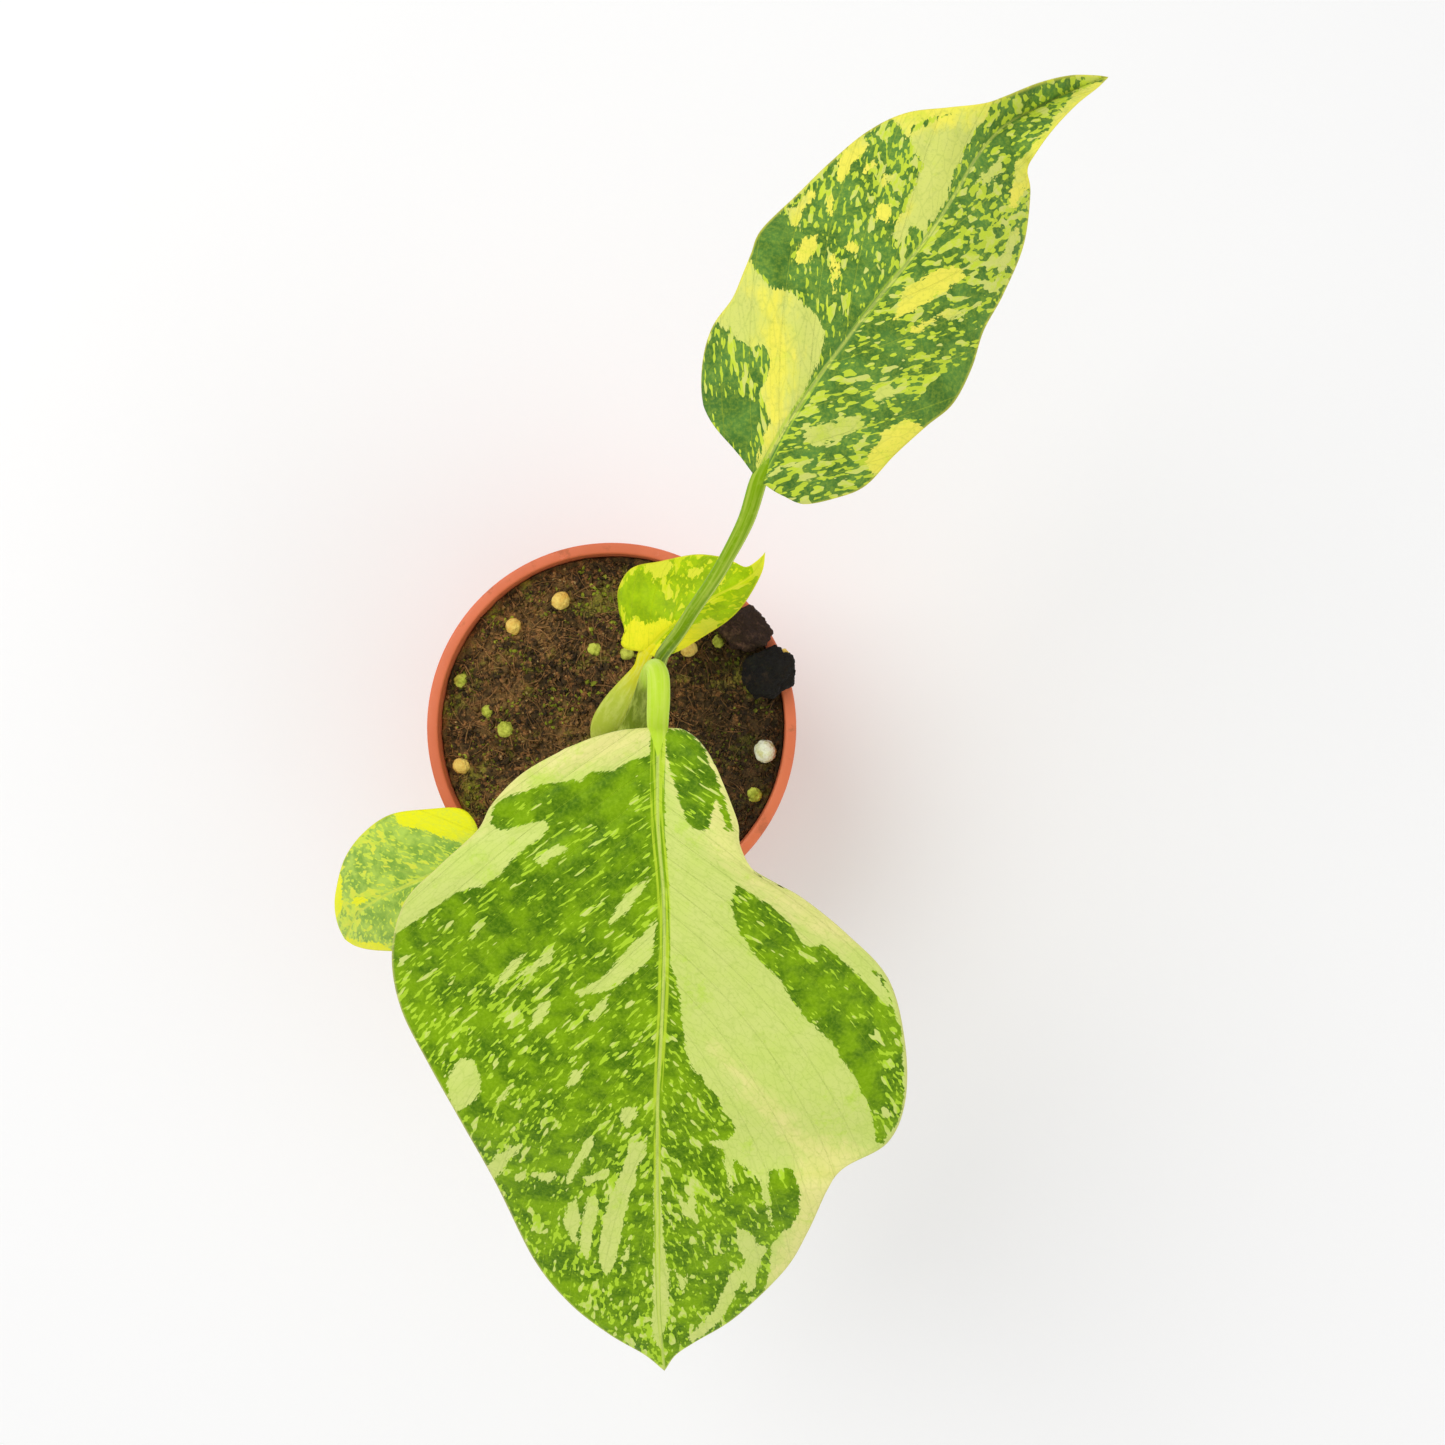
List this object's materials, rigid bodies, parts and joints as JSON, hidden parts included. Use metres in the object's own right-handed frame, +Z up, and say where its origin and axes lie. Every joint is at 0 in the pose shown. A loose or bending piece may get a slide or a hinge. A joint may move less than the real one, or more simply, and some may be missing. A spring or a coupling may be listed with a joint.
{
  "type": "potted monstera plant",
  "caption": "Young variegated monstera with broad entire leaves on slim stalks, standing in a round tapered nursery pot of potting mix.",
  "frame": {"origin": "centre of the pot's flat base, on the surface it stands on", "axes": "+Z up along the pot's axis, -Y the way the largest leaf hangs, +X to the right of it seen from above"},
  "size_m": [0.1679, 0.2562, 0.2093],
  "materials": {
    "pot_plastic": "thin moulded polypropylene, satin",
    "potting_mix": "damp peat and bark fibre",
    "stem": "fleshy green stem",
    "stalk": "smooth fleshy green leaf stalk",
    "leaf": "leathery leaf, green with cream patches, satin",
    "young_leaf": "thin young leaf, lime with yellow patches, satin",
    "bark": "damp bark and peat",
    "perlite": "porous white grain",
    "green_perlite": "porous grain with a green film"
  },
  "bodies": {
    "root": {"pot": "pot_plastic", "soil": "potting_mix", "stem": "stem", "front_stalk": "stalk", "rear_stalk": "stalk", "back_stalk": "stalk", "left_stalk": "stalk", "front_leaf": "leaf", "rear_leaf": "leaf", "back_leaf": "young_leaf", "left_leaf": "young_leaf", "bark_lump": "bark", "peat_lump": "bark", "perlite_1": "perlite", "perlite_2": "perlite", "perlite_3": "perlite", "perlite_4": "perlite", "perlite_5": "perlite", "green_perlite_1": "green_perlite", "green_perlite_2": "green_perlite", "green_perlite_3": "green_perlite", "green_perlite_4": "green_perlite", "green_perlite_5": "green_perlite", "green_perlite_6": "green_perlite", "green_perlite_7": "green_perlite"}
  },
  "joints": []
}
